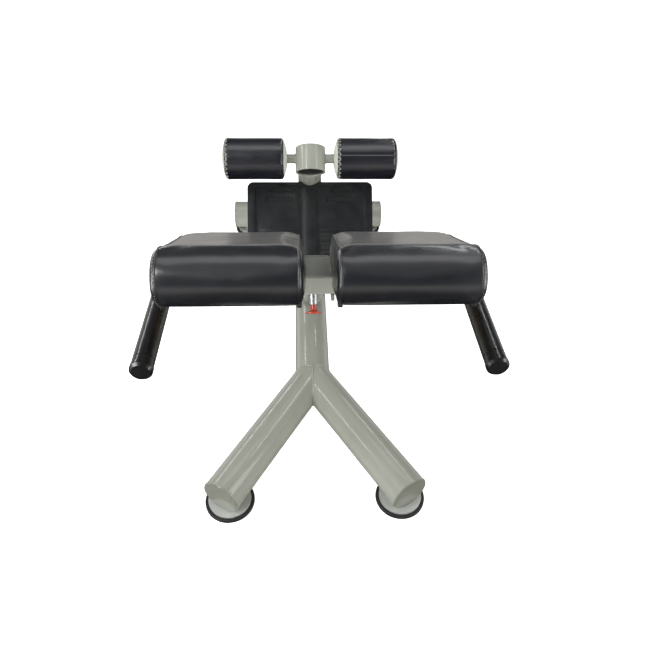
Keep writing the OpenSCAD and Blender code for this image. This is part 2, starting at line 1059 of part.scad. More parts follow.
// ---- Hip pads ----

// A pad's roll and wedge at full width. The flat top and underside leave the roll a little
// behind the tangent points, so that each meets it at a real edge.
module pad_body() {
    lag = 4;
    sink = roll_r * (1 - cos(lag));
    roll = [-roll_reach, carrier_h / 2 + roll_r];
    translate([0, roll[0], roll[1]])
        x_rod(pad_inner_x, pad_w, roll_r);
    yz_slab(pad_inner_x, pad_w)
        polygon([
            roll + roll_r * [sin(lag), -cos(lag)], roll,
            roll + roll_r * [sin(pad_wedge + lag), cos(pad_wedge + lag)],
            [pad_rear, carrier_h / 2 + pad_rear_h - sink], [pad_rear, carrier_h / 2 + sink]
        ]);
}

// The plan view of a pad or its board, w wide, with the rear corners rounded.
module pad_plan(inset) {
    front = -roll_reach - roll_r - over;
    rear = pad_rear - inset;
    x_in = pad_inner_x + inset;
    x_out = pad_inner_x + pad_w - inset;
    r_in = pad_corner_in - inset;
    r_out = pad_corner_out - inset;
    translate([x_in, front])
        square([x_out - x_in, rear - r_out - front]);
    translate([x_in, front])
        square([r_in, rear - r_in - front]);
    translate([x_in + r_in, front])
        square([x_out - r_out - x_in - r_in, rear - front]);
    translate([x_in + r_in, rear - r_in])
        circle(r_in);
    translate([x_out - r_out, rear - r_out])
        circle(r_out);
}

// The board's outside, made longer downwards by below.
module board_shape(below) {
    intersection() {
        translate([0, 0, carrier_h / 2 - below])
            linear_extrude(board_t + below)
                pad_plan(board_inset);
        translate([0, board_front, 0])
            cube([far, far, far]);
    }
}

module hip_pad(side) {
    color(vinyl)
        carrier_frame()
            mirrored(side)
                difference() {
                    intersection() {
                        pad_body();
                        translate([0, 0, carrier_h / 2 - over])
                            linear_extrude(2 * roll_r + 2 * over)
                                pad_plan(0);
                    }
                    board_shape(over);
                }
}

module pad_board(side) {
    color(plywood)
        carrier_frame()
            difference() {
                mirrored(side)
                    board_shape(0);
                at_pad_bolts(side)
                    cylinder(r = bolt_r, h = carrier_h / 2 + board_t - board_skin);
            }
}

// Eight bolts from below, through the carrier into the boards.
module pad_bolts() {
    shank = carrier_h + board_t - board_skin - bolt_tip_gap;
    color(steel)
        carrier_frame()
            for (side = [LEFT, RIGHT])
                at_pad_bolts(side)
                    translate([0, 0, -carrier_h / 2 - bolt_head_h]) {
                        cylinder(r = bolt_head_r, h = bolt_head_h, $fn = 6);
                        cylinder(r = bolt_r, h = bolt_head_h + shank);
                    }
}

module hip_pad_left() { hip_pad(LEFT); }
module hip_pad_right() { hip_pad(RIGHT); }
module pad_board_left() { pad_board(LEFT); }
module pad_board_right() { pad_board(RIGHT); }

// ---- Handles ----

// Axes at the carrier's centre that are level across and rise a little to the front.
module handle_frame(side) {
    carrier_frame()
        rotate([pad_tilt - handle_rise, 0, 0])
            mirrored(side)
                children();
}

// A stub out of the carrier's end plate, an elbow and a straight bar to the front.
module handle(side) {
    cap_t = 6;
    color(frame_paint)
        handle_frame(side) {
            x_rod(carrier_half, handle_x - elbow_r - carrier_half, handle_d / 2);
            translate([handle_x - elbow_r, -elbow_r, 0])
                rotate_extrude(angle = 90)
                    translate([elbow_r, 0])
                        circle(d = handle_d);
            translate([handle_x, -elbow_r, 0])
                rotate([90, 0, 0])
                    cylinder(d = handle_d, h = handle_reach - elbow_r - cap_t);
        }
}

// A rubber grip with a thicker closed end and a thin ring groove.
module grip(side) {
    cap_t = 6;
    cap_len = 12;
    cap_swell = 0.8;
    tip_len = 4;
    groove = 0.8;
    groove_back = 26;
    grip_r = grip_d / 2;
    color(black_rubber)
        handle_frame(side)
            translate([handle_x, -handle_reach + grip_len, 0])
                rotate([90, 0, 0])
                    difference() {
                        union() {
                            cylinder(r = grip_r, h = grip_len - cap_len);
                            translate([0, 0, grip_len - cap_len])
                                cylinder(r = grip_r + cap_swell, h = cap_len - tip_len);
                            translate([0, 0, grip_len - tip_len])
                                cylinder(r1 = grip_r + cap_swell, r2 = grip_tip_r, h = tip_len);
                        }
                        translate([0, 0, -over])
                            cylinder(d = handle_d, h = grip_len - cap_t + over);
                        translate([0, 0, grip_len - groove_back])
                            difference() {
                                cylinder(r = grip_r + over, h = 2 * groove);
                                translate([0, 0, -over])
                                    cylinder(r = grip_r - groove, h = 2 * groove + 2 * over);
                            }
                    }
}

module handle_left() { handle(LEFT); }
module handle_right() { handle(RIGHT); }
module grip_left() { grip(LEFT); }
module grip_right() { grip(RIGHT); }

front_leg_left();
front_leg_right();
spine_tube();
rear_cross_tube();
leg_end_plates();
rear_end_plates();
foot_disc_front_left();
foot_disc_front_right();
foot_disc_rear_left();
foot_disc_rear_right();
rubber_foot_front_left();
rubber_foot_front_right();
rubber_foot_rear_left();
rubber_foot_rear_right();
main_beam();
beam_liner();
upright();
plate_brackets();
foot_plate();
foot_plate_bolts();
rear_strut();
head_tube();
head_cap();
head_plug();
roller_bar();
bar_washers();
bar_screws();
roller_pad_left();
roller_pad_right();
roller_sleeve_left();
roller_sleeve_right();
roller_discs_left();
roller_discs_right();
pin_barrel();
pin_spring();
pull_pin();
pin_knob();
inner_post();
post_plug();
carrier();
carrier_end_plates();
gusset_plates();
pad_board_left();
pad_board_right();
hip_pad_left();
hip_pad_right();
pad_bolts();
handle_left();
handle_right();
grip_left();
grip_right();
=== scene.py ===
# %% [markdown]
# # A roman chair in vinyl, painted tube and moulded plastic
# A roman chair is a bench for the lower back. The user's hips lie on two wedge pads, the ankles
# are held under two padded rollers, and the soles stand on a sloped plate. The steel frame is
# already made as exact solids, so this lesson loads it and leaves it where it is. What is left
# to make is what a solid can't show: sewn covers, welds, rounded edges, paint and light.

# %% Load the frame
import json
import math

import bmesh
import bpy
from mathutils import Matrix, Vector, noise


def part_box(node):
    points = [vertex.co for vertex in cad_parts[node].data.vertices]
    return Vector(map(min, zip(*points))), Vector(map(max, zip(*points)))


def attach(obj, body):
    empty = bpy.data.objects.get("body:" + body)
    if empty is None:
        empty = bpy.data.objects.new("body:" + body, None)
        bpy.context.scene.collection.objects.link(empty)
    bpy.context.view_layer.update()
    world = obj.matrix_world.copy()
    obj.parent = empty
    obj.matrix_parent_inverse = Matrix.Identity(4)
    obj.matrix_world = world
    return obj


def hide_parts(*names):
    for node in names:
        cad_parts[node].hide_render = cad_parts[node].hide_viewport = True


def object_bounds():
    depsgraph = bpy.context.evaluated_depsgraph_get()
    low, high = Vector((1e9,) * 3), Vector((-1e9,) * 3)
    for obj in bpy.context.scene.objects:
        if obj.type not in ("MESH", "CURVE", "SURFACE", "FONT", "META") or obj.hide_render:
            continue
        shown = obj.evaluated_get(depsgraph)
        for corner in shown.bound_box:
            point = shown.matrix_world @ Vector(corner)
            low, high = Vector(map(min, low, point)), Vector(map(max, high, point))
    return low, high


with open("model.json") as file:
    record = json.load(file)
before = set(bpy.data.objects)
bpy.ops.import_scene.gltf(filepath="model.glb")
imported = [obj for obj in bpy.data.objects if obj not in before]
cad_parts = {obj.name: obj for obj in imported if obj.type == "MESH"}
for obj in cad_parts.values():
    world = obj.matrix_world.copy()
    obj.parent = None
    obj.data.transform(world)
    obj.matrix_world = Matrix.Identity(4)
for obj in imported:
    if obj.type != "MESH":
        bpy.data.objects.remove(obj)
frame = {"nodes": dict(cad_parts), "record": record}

cad_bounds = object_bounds()
nodes = frame["nodes"]
MM = 0.001
print("nodes in the frame:", len(nodes))

# %% [markdown]
# ## Small tools
# Three helpers serve the whole file. One turns a hex colour into the linear colour that a
# shader works in. One adds a shader node with its settings and links. One turns a finished
# bmesh into an object that rides on a body of the frame.


# %% A colour helper and a node helper
def linear(hex_code):
    """sRGB hex to the linear RGBA that sockets take."""
    channels = [int(hex_code[i:i + 2], 16) / 255 for i in (1, 3, 5)]
    return [c / 12.92 if c <= 0.04045 else ((c + 0.055) / 1.055) ** 2.4 for c in channels] + [1.0]


def add(tree, kind, inputs=None, **settings):
    """Adds a node. An input is a plain value or the output socket that feeds it."""
    node = tree.nodes.new(kind)
    for key, value in settings.items():
        setattr(node, key, value)
    for key, value in (inputs or {}).items():
        if isinstance(value, bpy.types.NodeSocket):
            tree.links.new(value, node.inputs[key])
        else:
            node.inputs[key].default_value = value
    return node


# %% A helper that makes a piece
def make_piece(name, bm, material, body, replaced=()):
    """Turns a bmesh into a smooth-shaded object that moves with a body of the frame."""
    mesh = bpy.data.meshes.new(name)
    bm.to_mesh(mesh)
    bm.free()
    mesh.polygons.foreach_set("use_smooth", [True] * len(mesh.polygons))
    mesh.materials.append(material)
    piece = bpy.data.objects.new(name, mesh)
    bpy.context.scene.collection.objects.link(piece)
    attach(piece, body)
    if replaced:
        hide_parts(*replaced)
    return piece


# %% [markdown]
# ## Finishes
# Every finish starts from the real one. Each has a base colour that drifts a little over the
# surface, a roughness that is broken up the way handling breaks it up, and a bump whose scale
# is worked out from a size in millimetres. Patterns read Object coordinates, which are metres
# here, so a noise of `1000 / size` has features of that many millimetres.


# %% The start of every finish
def start_finish(name, shader_values):
    material = bpy.data.materials.new(name)
    material.use_nodes = True
    tree = material.node_tree
    shader = tree.nodes["Principled BSDF"]
    for key, value in shader_values.items():
        shader.inputs[key].default_value = value
    place = add(tree, "ShaderNodeTexCoord").outputs["Object"]
    return material, tree, shader, place


def per_mm(size):
    """The texture scale that gives features of this many millimetres."""
    return 1 / (size * MM)


def drifting_colour(tree, shader, place, dark, light, size):
    """Lets the base colour wander between two tones in patches of this many millimetres."""
    patches = add(tree, "ShaderNodeTexNoise", {
        "Vector": place, "Scale": per_mm(size), "Detail": 4.0})
    spread = add(tree, "ShaderNodeMapRange", {
        "Value": patches.outputs["Fac"], "From Min": 0.25, "From Max": 0.75})
    mix = add(tree, "ShaderNodeMix", {
        "Factor": spread.outputs["Result"], "A": linear(dark), "B": linear(light)}, data_type="RGBA")
    tree.links.new(mix.outputs["Result"], shader.inputs["Base Color"])


def drifting_roughness(tree, shader, place, low, high, size):
    """Breaks up the gloss in patches of this many millimetres."""
    smears = add(tree, "ShaderNodeTexNoise", {
        "Vector": place, "Scale": per_mm(size), "Detail": 3.0})
    spread = add(tree, "ShaderNodeMapRange", {
        "Value": smears.outputs["Fac"], "From Min": 0.3, "From Max": 0.7,
        "To Min": low, "To Max": high})
    tree.links.new(spread.outputs["Result"], shader.inputs["Roughness"])


def bumped(tree, shader, height, depth, strength=1.0, under=None):
    """Adds a bump of this depth in millimetres, over another bump if there is one."""
    inputs = {"Height": height, "Distance": depth * MM, "Strength": strength}
    if under:
        inputs["Normal"] = under.outputs["Normal"]
    bump = add(tree, "ShaderNodeBump", inputs)
    tree.links.new(bump.outputs["Normal"], shader.inputs["Normal"])
    return bump


# %% [markdown]
# ### Powder coat
# The tubes are powder coated: a dry plastic paint that is baked until it flows. It comes out
# glossy and nearly smooth, with a faint orange peel of ripples a few millimetres wide, and it
# hides the metal, so the shader isn't metallic. A clear coat gives the sharp highlight streaks
# along each tube over a softer body of paint.


# %% Powder coat
def powder_coat(name, dark, light):
    material, tree, shader, place = start_finish(name, {
        "IOR": 1.5, "Coat Weight": 0.55, "Coat Roughness": 0.07, "Coat IOR": 1.5})
    drifting_colour(tree, shader, place, dark, light, 90)
    drifting_roughness(tree, shader, place, 0.29, 0.35, 60)
    # Real peel is about 1 mm across. It is drawn at 4 mm so that it shows from across a room.
    peel = add(tree, "ShaderNodeTexNoise", {"Vector": place, "Scale": per_mm(4), "Detail": 2.0})
    ripple = bumped(tree, shader, peel.outputs["Fac"], 0.05, 0.5)
    dust = add(tree, "ShaderNodeTexNoise", {"Vector": place, "Scale": per_mm(0.9), "Detail": 1.0})
    bumped(tree, shader, dust.outputs["Fac"], 0.02, 0.35, ripple)
    return material


frame_paint = powder_coat("powder_coat_warm_grey", "#919388", "#989a8f")
plate_paint = powder_coat("powder_coat_warm_grey_dark", "#74766a", "#7e8075")
foot_paint = powder_coat("powder_coat_silver_grey", "#a3a5a0", "#b6b8b3")
print("paints:", frame_paint.name, plate_paint.name, foot_paint.name)

# %% [markdown]
# ### Upholstery vinyl
# The pads are covered in upholstery vinyl: a soft PVC skin, embossed with a leather grain of
# little cells and then given a semi-gloss top coat. Grain cells are close to a millimetre, and
# Voronoi cells make them. Broad, shallow waves in a second bump are the slack of cloth over
# foam, and they are what bends the long highlights.


# %% Upholstery vinyl
def vinyl(name, dark, light, slack):
    material, tree, shader, place = start_finish(name, {
        "IOR": 1.5, "Specular IOR Level": 0.6, "Coat Weight": 0.7, "Coat Roughness": 0.2})
    drifting_colour(tree, shader, place, dark, light, 60)
    drifting_roughness(tree, shader, place, 0.3, 0.38, 45)
    waves = add(tree, "ShaderNodeTexNoise", {"Vector": place, "Scale": per_mm(45), "Detail": 3.0})
    wavy = bumped(tree, shader, waves.outputs["Fac"], slack, 0.6)
    # Real cells are 0.8 mm. They are drawn at 1.6 mm so that the grain is just visible.
    cells = add(tree, "ShaderNodeTexVoronoi", {"Vector": place, "Scale": per_mm(1.6)},
                feature="DISTANCE_TO_EDGE")
    grain = add(tree, "ShaderNodeMapRange", {"Value": cells.outputs["Distance"], "From Max": 0.25})
    bumped(tree, shader, grain.outputs["Result"], 0.06, 0.4, wavy)
    return material


pad_vinyl = vinyl("upholstery_vinyl_black", "#131417", "#1d1e22", 1.2)
roller_vinyl = vinyl("upholstery_vinyl_midnight", "#0c0d14", "#14151d", 0.7)
print("vinyls:", pad_vinyl.name, roller_vinyl.name)

# %% [markdown]
# ### Plastics and rubber
# The tread is ABS from a spark-eroded mould, which leaves a fine even texture and a satin
# sheen. The end discs and the knob come from polished moulds, so they are smooth and glossy.
# The grips are dipped rubber, glossy but soft at the edges, and the feet are plain moulded
# rubber, matt and a little dusty.


# %% Mouldings and rubber
def moulding(name, dark, light, rough, texture_mm, depth, coat=0.0, patch_mm=30):
    material, tree, shader, place = start_finish(name, {
        "IOR": 1.5, "Coat Weight": coat, "Coat Roughness": 0.08})
    drifting_colour(tree, shader, place, dark, light, patch_mm)
    drifting_roughness(tree, shader, place, rough - 0.04, rough + 0.04, 30)
    pits = add(tree, "ShaderNodeTexNoise", {
        "Vector": place, "Scale": per_mm(texture_mm), "Detail": 2.0})
    bumped(tree, shader, pits.outputs["Fac"], depth, 0.5)
    return material


tread_plastic = moulding("abs_spark_textured_black", "#141617", "#1c1f20", 0.34, 1.4, 0.06)
black_plastic = moulding("nylon_moulded_black", "#151515", "#1f1f1e", 0.42, 1.2, 0.04)
disc_plastic = moulding("polypropylene_light_grey", "#bfc2b4", "#cfd1c6", 0.34, 3.0, 0.03)
knob_plastic = moulding("abs_polished_red", "#a02a17", "#bd4426", 0.18, 2.5, 0.02, 0.8, 12)
grip_rubber = moulding("dipped_rubber_black", "#0c0c0c", "#151515", 0.3, 1.5, 0.05, 0.4)
# The pocket floors' near-black is painted shade; only their matt roughness belongs to the unpolished
# mould.
pocket_shade_plastic = moulding("abs_unpolished_black_painted_shade", "#050505", "#0b0b0b", 0.7, 1.4, 0.08)
foot_rubber = moulding("moulded_rubber_matt_black", "#121212", "#222120", 0.62, 1.0, 0.08)
print("mouldings:", tread_plastic.name, knob_plastic.name, grip_rubber.name)

# %% [markdown]
# ### Zinc, plywood and thread
# Bolts and the pull pin are bright zinc: a metal whose turned surface has fine scratches round
# it. The pad boards are birch plywood, with long grain and darker growth lines. The lacing and
# stitches are waxed polyester thread, pale against the vinyl.


# %% Zinc-plated steel
def zinc_plate():
    material, tree, shader, place = start_finish("zinc_plated_steel", {"Metallic": 1.0})
    drifting_colour(tree, shader, place, "#a9adb0", "#c6c8c8", 8)
    drifting_roughness(tree, shader, place, 0.22, 0.4, 5)
    marks = add(tree, "ShaderNodeTexNoise", {"Vector": place, "Scale": per_mm(0.6), "Detail": 3.0})
    bumped(tree, shader, marks.outputs["Fac"], 0.03, 0.4)
    return material


# %% Birch plywood
def birch_plywood():
    material, tree, shader, place = start_finish("birch_plywood_raw", {"IOR": 1.5})
    # The grain runs along X, so the pattern is stretched ten times that way.
    along = add(tree, "ShaderNodeMapping", {"Vector": place, "Scale": (0.1, 1.0, 1.0)})
    lines = add(tree, "ShaderNodeTexNoise", {
        "Vector": along.outputs["Vector"], "Scale": per_mm(9), "Detail": 8.0, "Distortion": 0.6})
    tones = add(tree, "ShaderNodeMix", {
        "Factor": lines.outputs["Fac"], "A": linear("#4d3b28"), "B": linear("#7a6142")},
        data_type="RGBA")
    tree.links.new(tones.outputs["Result"], shader.inputs["Base Color"])
    drifting_roughness(tree, shader, place, 0.55, 0.75, 20)
    bumped(tree, shader, lines.outputs["Fac"], 0.15, 0.5)
    return material


# %% Thread
def waxed_thread():
    material, tree, shader, place = start_finish("waxed_polyester_thread", {
        "IOR": 1.5, "Sheen Weight": 0.3})
    drifting_colour(tree, shader, place, "#8f9087", "#b4b5aa", 5)
    drifting_roughness(tree, shader, place, 0.5, 0.7, 3)
    twist = add(tree, "ShaderNodeTexNoise", {"Vector": place, "Scale": per_mm(0.7), "Detail": 2.0})
    bumped(tree, shader, twist.outputs["Fac"], 0.1, 0.6)
    return material


zinc = zinc_plate()
plywood = birch_plywood()
thread = waxed_thread()
print("small finishes:", zinc.name, plywood.name, thread.name)

# %% [markdown]
# ## Dressing the frame
# Each node of the frame names a finish slot in its record. One table from slot to finish
# dresses them all, and a node that is hidden later under a detailed piece costs nothing.

# %% Assign a finish to every node
finish_of_slot = {
    "frame_paint": frame_paint, "plate_paint": plate_paint, "foot_steel": foot_paint,
    "foot_rubber": foot_rubber, "tread_plastic": tread_plastic, "black_plastic": black_plastic,
    "zinc_steel": zinc, "roller_vinyl": roller_vinyl, "pad_vinyl": pad_vinyl, "plywood": plywood,
    "disc_plastic": disc_plastic, "knob_plastic": knob_plastic, "grip_rubber": grip_rubber,
}
slot_of = {row["node"]: row["material_slot"] for row in frame["record"]["subparts"]}
body_of = {n: b for b, members in frame["record"]["behaviour"]["bodies"].items() for n in members}
for node_name, node in nodes.items():
    node.data.materials.clear()
    node.data.materials.append(finish_of_slot[slot_of[node_name]])
print("dressed", len(nodes), "nodes in", len(finish_of_slot), "finishes")

# %% [markdown]
# ## Softened edges
# Sharp solids give themselves away: a moulded or cut edge has a small radius that catches a
# line of light. For pieces with hard corners a copy of the node is merged, its flat faces are
# joined up, and a Bevel modifier rounds what is left. The copy then stands for the node.


# %% Round the hard edges of a node
def soften(node_name, width, segments=3):
    bm = bmesh.new()
    bm.from_mesh(nodes[node_name].data)
    bmesh.ops.remove_doubles(bm, verts=bm.verts, dist=0.01 * MM)
    bmesh.ops.dissolve_limit(
        bm, angle_limit=math.radians(0.5), verts=bm.verts, edges=bm.edges,
        use_dissolve_boundaries=False)
    piece = make_piece(
        node_name + "_soft", bm, finish_of_slot[slot_of[node_name]],
        body_of[node_name], (node_name,))
    bevel = piece.modifiers.new("edge", "BEVEL")
    bevel.width = width * MM
    bevel.segments = segments
    bevel.limit_method = "ANGLE"
    bevel.angle_limit = math.radians(40)
    piece.data.set_sharp_from_angle(angle=math.radians(80))
    return piece


softened = {
    "foot_plate": 1.2, "leg_end_plates": 1.4, "rear_end_plates": 1.4,
    "carrier_end_plates": 1.2, "gusset_plates": 1.2, "plate_brackets": 0.8,
    "rubber_foot_front_left": 2.2, "rubber_foot_front_right": 2.2,
    "rubber_foot_rear_left": 2.2, "rubber_foot_rear_right": 2.2,
    "bar_washers": 0.5, "pin_barrel": 0.9, "beam_liner": 0.6,
}
for node_name, width in softened.items():
    soften(node_name, width)
print("softened", len(softened), "nodes")

# %% [markdown]
# The tread has a field for each sole, with an arch and a bar sunk deeper into it. Their
# floors are matt, as an unpolished mould leaves them, and their near-black is painted shade
# that makes the pockets read as dark shapes. The faces are found by how far they lie under the tread.

# %% Paint shade on the floors of the deep pockets
slide = next(j for j in frame["record"]["behaviour"]["joints"] if j["name"] == "carriage_slide")
up_beam = Vector(slide["axis"])
tread = bpy.data.objects["foot_plate_soft"].data
tread.materials.append(pocket_shade_plastic)
tread_height = max(v.co.dot(up_beam) for v in tread.vertices)
shallowest, deepest = 5 * MM, 9 * MM
pockets = [
    face for face in tread.polygons
    if shallowest < tread_height - face.center.dot(up_beam) < deepest
    and face.normal.dot(up_beam) > 0.5]
for face in pockets:
    face.material_index = 1
print("pocket floors:", len(pockets))

# %% [markdown]
# ## Where things are
# The later pieces take their places from the boxes of the nodes. The carrier's middle is the
# origin of the pads' own slanted axes, and the welds follow the tubes' axes.

# %% Measure the frame
low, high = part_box("carrier")
carrier_mid = (low + high) / 2
pad_tilt = math.radians(13)
beam_tilt = math.atan2(-up_beam.y, up_beam.z)
off_beam = Vector((0, up_beam.z, -up_beam.y))
pad_up = Vector((0, math.sin(pad_tilt), math.cos(pad_tilt)))
low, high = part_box("spine_tube")
tube_r = (high.x - low.x) / 2
tube_z = (high.z + low.z) / 2
rear_low, rear_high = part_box("rear_cross_tube")
rear_y = (rear_low.y + rear_high.y) / 2
print("carrier middle (mm):", [round(v / MM, 1) for v in carrier_mid])
print("floor tube radius (mm):", round(tube_r / MM, 1), "rear axis y (mm):", round(rear_y / MM, 1))

# %% [markdown]
# ## Hip pads
# A hip pad is foam on a board, pulled tight in vinyl. The cover is a strip over the front roll
# and the top, and two side panels, sewn together a finger's width in from the edge over a
# piping cord. A subdivided box can't show how such a cover strains, so each pad is a real
# simulation: the CAD wedge is remeshed into even quads, drawn in a little, and inflated as
# cloth while its underside is held to the board. A cap keeps it inside its true size.


# %% The blank that is inflated
VOXEL = 5 * MM
DRAWN_IN = 1.5 * MM


def pad_blank(side):
    bm = bmesh.new()
    bm.from_mesh(nodes[f"hip_pad_{side}"].data)
    bm.from_mesh(nodes[f"pad_board_{side}"].data)
    bmesh.ops.remove_doubles(bm, verts=bm.verts, dist=0.05 * MM)
    mesh = bpy.data.meshes.new("blank")
    bm.to_mesh(mesh)
    bm.free()
    blank = bpy.data.objects.new("blank", mesh)
    bpy.context.scene.collection.objects.link(blank)
    remesh = blank.modifiers.new("even_quads", "REMESH")
    remesh.mode = "VOXEL"
    remesh.voxel_size = VOXEL
    return applied(blank)


def applied(obj):
    """Replaces the object's mesh by what its modifiers make of it."""
    bpy.context.view_layer.update()
    depsgraph = bpy.context.evaluated_depsgraph_get()
    mesh = bpy.data.meshes.new_from_object(obj.evaluated_get(depsgraph))
    obj.modifiers.clear()
    obj.data = mesh
    return obj


# %% Draw the blank in and round it
ROUNDING_PASSES = 14


def smoothed(bm):
    """Moves every point half of the way to the middle of its neighbours."""
    bmesh.ops.smooth_vert(
        bm, verts=bm.verts, factor=0.5, use_axis_x=True, use_axis_y=True, use_axis_z=True)


def draw_in(blank):
    bm = bmesh.new()
    bm.from_mesh(blank.data)
    smoothed(bm)
    bmesh.ops.recalc_face_normals(bm, faces=bm.faces)
    bm.normal_update()
    inward = {v: v.normal.copy() * DRAWN_IN for v in bm.verts}
    for v, step in inward.items():
        v.co -= step
    for _ in range(ROUNDING_PASSES):
        smoothed(bm)
    bm.to_mesh(blank.data)
    bm.free()


# %% Inflate the cover
SWELL_CAP = 3.5 * MM
CLOTH_FRAMES = 20
HELD_DEPTH = 4 * MM


def inflate(blank, cap):
    """Runs the cloth, then lets no point move further than cap."""
    held = blank.vertex_groups.new(name="held")
    lowest = min(v.co.dot(pad_up) for v in blank.data.vertices)
    for v in blank.data.vertices:
        if v.co.dot(pad_up) < lowest + HELD_DEPTH:
            held.add([v.index], 1.0, "REPLACE")
    start = [v.co.copy() for v in blank.data.vertices]
    cloth = blank.modifiers.new("cover", "CLOTH")
    cloth.settings.quality = 6
    cloth.settings.mass = 0.3
    cloth.settings.tension_stiffness = 25
    cloth.settings.compression_stiffness = 25
    cloth.settings.bending_stiffness = 1.5
    cloth.settings.use_pressure = True
    cloth.settings.uniform_pressure_force = 4
    cloth.settings.vertex_group_mass = "held"
    cloth.settings.effector_weights.gravity = 0
    scene = bpy.context.scene
    for frame_number in range(1, CLOTH_FRAMES + 1):
        scene.frame_set(frame_number)
    applied(blank)
    scene.frame_set(1)
    furthest = 0
    for v, rest in zip(blank.data.vertices, start):
        move = v.co - rest
        furthest = max(furthest, move.length)
        if move.length > cap:
            v.co = rest + move * (cap / move.length)
    blank.vertex_groups.clear()
    print("cloth moved up to (mm):", round(furthest / MM, 1))


# %% Gather the inner side panel
INNER_SEAM = 9 * MM
GATHER_DEPTH = 1.6 * MM


def gather_inner_panel(bm, side):
    """The panel that faces the other pad is gathered to its piping, so it is puckered."""
    low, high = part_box(f"hip_pad_{side}")
    inner_x, sign = (high.x, -1) if side == "left" else (low.x, 1)
    for v in bm.verts:
        depth = abs(v.co.x - inner_x)
        if depth < INNER_SEAM:
            crumple = noise.noise(v.co * 70) + 0.6 * noise.noise(v.co * 160)
            v.co.x += sign * GATHER_DEPTH * crumple * (1 - depth / INNER_SEAM)


# %% Make both pad covers
SETTLING_PASSES = 6


def hip_pad(side):
    blank = pad_blank(side)
    draw_in(blank)
    inflate(blank, SWELL_CAP)
    bm = bmesh.new()
    bm.from_mesh(blank.data)
    bpy.data.objects.remove(blank)
    for _ in range(SETTLING_PASSES):
        smoothed(bm)
    gather_inner_panel(bm, side)
    pad = make_piece(
        f"hip_pad_cover_{side}", bm, pad_vinyl, "carriage", (f"hip_pad_{side}",))
    subdivision = pad.modifiers.new("smooth", "SUBSURF")
    subdivision.levels = 1
    subdivision.render_levels = 1
    return pad


pads = {side: hip_pad(side) for side in ("left", "right")}
for side, pad in pads.items():
    print("pad", side, len(pad.data.polygons), "quads")

# %% [markdown]
# ### Piping and stitches
# Piping is a cord sewn into the seam, so it follows the cover exactly. A plane cuts the
# finished pad where the seam is, and the cut's edges, walked in order, are the seam's path.
# The same path, stepped every few millimetres, places the stitches.


# %% Find a seam's path on a pad
def section_loop(obj, plane_co, plane_no):
    """The closed loop of points where a plane cuts the object's mesh."""
    bm = bmesh.new()
    bm.from_mesh(obj.data)
    cut = bmesh.ops.bisect_plane(
        bm, geom=bm.verts[:] + bm.edges[:] + bm.faces[:], dist=0.001 * MM,
        plane_co=plane_co, plane_no=plane_no)
    edges = {e for e in cut["geom_cut"] if isinstance(e, bmesh.types.BMEdge)}
    edge = min(edges, key=lambda e: (e.verts[0].co.y, e.verts[1].co.z))
    vert = edge.verts[0]
    path = [vert.co.copy()]
    while edge:
        edges.discard(edge)
        vert = edge.other_vert(vert)
        path.append(vert.co.copy())
        edge = next((e for e in vert.link_edges if e in edges), None)
    bm.free()
    return path


def even_steps(path, step):
    """The same path as points an even distance apart."""
    points = [path[0]]
    left = step
    for a, b in zip(path, path[1:]):
        length = (b - a).length
        while length >= left and length > 0:
            a = a.lerp(b, left / length)
            points.append(a)
            length -= left
            left = step
        left -= length
    return points


# %% Lay a round cord along a path
def cord(name, path, radius, material, body, closed=True, swell=None):
    """A round cord on a smooth line. swell gives a factor on the radius at each point."""
    line = bpy.data.curves.new(name, "CURVE")
    line.dimensions = "3D"
    line.bevel_depth = radius
    line.bevel_resolution = 3
    line.use_fill_caps = True
    spline = line.splines.new("POLY")
    spline.points.add(len(path) - 1)
    for i, place in enumerate(path):
        spline.points[i].co = (*place, 1)
        spline.points[i].radius = swell(i) if swell else 1
    spline.use_cyclic_u = closed
    spline.use_smooth = True
    line.materials.append(material)
    piece = bpy.data.objects.new(name, line)
    bpy.context.scene.collection.objects.link(piece)
    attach(piece, body)
    return piece


# %% Piping round each pad
OUTER_SEAM = 12 * MM
PIPING_R = 2 * MM


def seam_x(side, edge, inset):
    low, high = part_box(f"hip_pad_{side}")
    outer_is_low = side == "left"
    at_low = (edge == "outer") == outer_is_low
    return low.x + inset if at_low else high.x - inset


def piping(side, edge, inset):
    loop = section_loop(pads[side], Vector((seam_x(side, edge, inset), 0, 0)), Vector((1, 0, 0)))
    path = even_steps(loop, 5 * MM)[:-1]
    cord(f"piping_{edge}_{side}", path, PIPING_R, pad_vinyl, "carriage")
    return path


seams = {}
for side in ("left", "right"):
    seams[side, "inner"] = piping(side, "inner", INNER_SEAM)
    seams[side, "outer"] = piping(side, "outer", OUTER_SEAM)
print("piping loops:", {key: len(path) for key, path in seams.items()})


# %% Stitches beside the piping
def stitch(bm, a, b, radius):
    """One short thread lying from a to b, thick in the middle."""
    middle = (a + b) / 2
    turn = (b - a).to_track_quat("Z", "Y").to_matrix().to_4x4()
    stretch = Matrix.Diagonal((radius, radius, (b - a).length / 2, 1))
    bmesh.ops.create_icosphere(
        bm, subdivisions=1, radius=1.0, matrix=Matrix.Translation(middle) @ turn @ stretch)


STITCH = 3.2 * MM
STITCH_R = 0.5 * MM


def stitch_row(side):
    """Stitches on the side panel, just outside the outer piping."""
    path = even_steps(seams[side, "outer"], STITCH)
    shift = Vector((STITCH if side == "right" else -STITCH, 0, 0))
    bm = bmesh.new()
    for a, b in zip(path[::2], path[1::2]):
        stitch(bm, a + shift, b + shift, STITCH_R)
    make_piece(f"stitches_outer_{side}", bm, thread, "carriage")


for side in ("left", "right"):
    stitch_row(side)
print("stitched both outer seams")


# %% Folded tabs at the lower corners
TAB_SIZE = (9 * MM, 13 * MM, 7 * MM)
FRONT_REACH = 150 * MM


